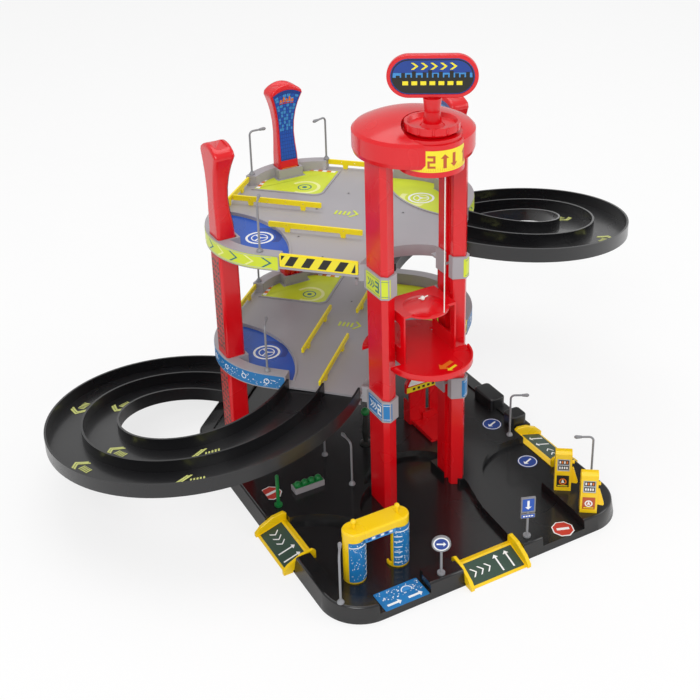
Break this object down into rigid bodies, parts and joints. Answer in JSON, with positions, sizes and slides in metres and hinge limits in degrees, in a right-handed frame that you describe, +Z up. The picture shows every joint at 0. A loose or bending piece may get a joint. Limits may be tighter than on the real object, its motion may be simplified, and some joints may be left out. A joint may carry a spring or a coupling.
{
  "type": "toy parking garage with lift",
  "caption": "Toy parking garage: base with drive-in ramps, two round-cornered decks on columns, spiral two-lane ramps on both sides and a cord-hoisted lift cabin under a capped winch.",
  "frame": {"origin": "on the underside of the base plate, below the middle of the tower", "axes": "+Z up, -Y towards the lift and the front entry ramp, +X to the right seen from the front"},
  "size_m": [0.7244, 0.5073, 0.516],
  "materials": {
    "black_plastic": "glossy injection-moulded",
    "grey_plastic": "satin injection-moulded",
    "red_plastic": "glossy injection-moulded",
    "yellow_plastic": "glossy injection-moulded",
    "green_plastic": "matt injection-moulded",
    "sign_plastic": "glossy printed insert",
    "white_cord": "twisted white cord"
  },
  "bodies": {
    "tower": {"base_plate": "black_plastic", "left_spiral_ramp": "black_plastic", "right_spiral_ramp": "black_plastic", "tree_trunk": "black_plastic", "level_2_deck": "grey_plastic", "level_3_deck": "grey_plastic", "street_lamps_ground": "grey_plastic", "street_lamps_level_2": "grey_plastic", "street_lamps_level_3": "grey_plastic", "round_arrow_sign": "grey_plastic", "parking_sign": "grey_plastic", "lift_column_left_lower": "red_plastic", "lift_column_left_middle": "red_plastic", "lift_column_left_upper": "red_plastic", "lift_column_right_lower": "red_plastic", "lift_column_right_middle": "red_plastic", "lift_column_right_upper": "red_plastic", "corner_column_left_lower": "red_plastic", "corner_column_left_upper": "red_plastic", "finial_left": "red_plastic", "corner_column_back_lower": "red_plastic", "corner_column_back_upper": "red_plastic", "finial_back": "red_plastic", "corner_column_right_lower": "red_plastic", "corner_column_right_upper": "red_plastic", "finial_right": "red_plastic", "lift_cap": "red_plastic", "service_gantry": "red_plastic", "hoist_string": "white_cord", "entry_ramp_left": "yellow_plastic", "entry_ramp_front": "yellow_plastic", "entry_ramp_right": "yellow_plastic", "car_wash_arch": "yellow_plastic", "fuel_pump_1": "yellow_plastic", "fuel_pump_2": "yellow_plastic", "guard_rails_level_2": "yellow_plastic", "guard_rails_level_3": "yellow_plastic", "hazard_barrier_level_2": "yellow_plastic", "hazard_barrier_level_3": "yellow_plastic", "planter_box": "green_plastic", "hedge": "green_plastic", "green_post": "green_plastic", "tree_top": "green_plastic"},
    "winder": {"winder_knob": "red_plastic", "sign_frame": "red_plastic", "sign_panels": "sign_plastic", "winch_spool": "red_plastic"},
    "cabin": {"lift_cabin": "red_plastic", "string_knot": "white_cord"},
    "brush_left": {"wash_brush_left": "yellow_plastic"},
    "brush_right": {"wash_brush_right": "yellow_plastic"},
    "hoist": {"service_hoist": "red_plastic"}
  },
  "joints": [
    {"name": "lift", "type": "slide", "parent": "tower", "child": "cabin", "axis": [0, 0, 1], "range_m": [-0.1785, 0.09], "deforming": ["hoist_string"]},
    {"name": "winder_turn", "type": "hinge", "parent": "tower", "child": "winder", "pos_m": [0, -0.18999, 0.44], "axis": [0, 0, 1], "range_deg": [-1150, 580]},
    {"name": "brush_left_spin", "type": "hinge", "parent": "tower", "child": "brush_left", "pos_m": [-0.13, -0.252, 0.04], "axis": [0, 0, 1], "continuous": true},
    {"name": "brush_right_spin", "type": "hinge", "parent": "tower", "child": "brush_right", "pos_m": [-0.08, -0.252, 0.04], "axis": [0, 0, 1], "continuous": true},
    {"name": "service_hoist_slide", "type": "slide", "parent": "tower", "child": "hoist", "axis": [0, 0, 1], "range_m": [0, 0.028]}
  ],
  "couplings": [
    {"joint": "winder_turn", "follows": "lift", "rad_per_m": 111.11}
  ]
}
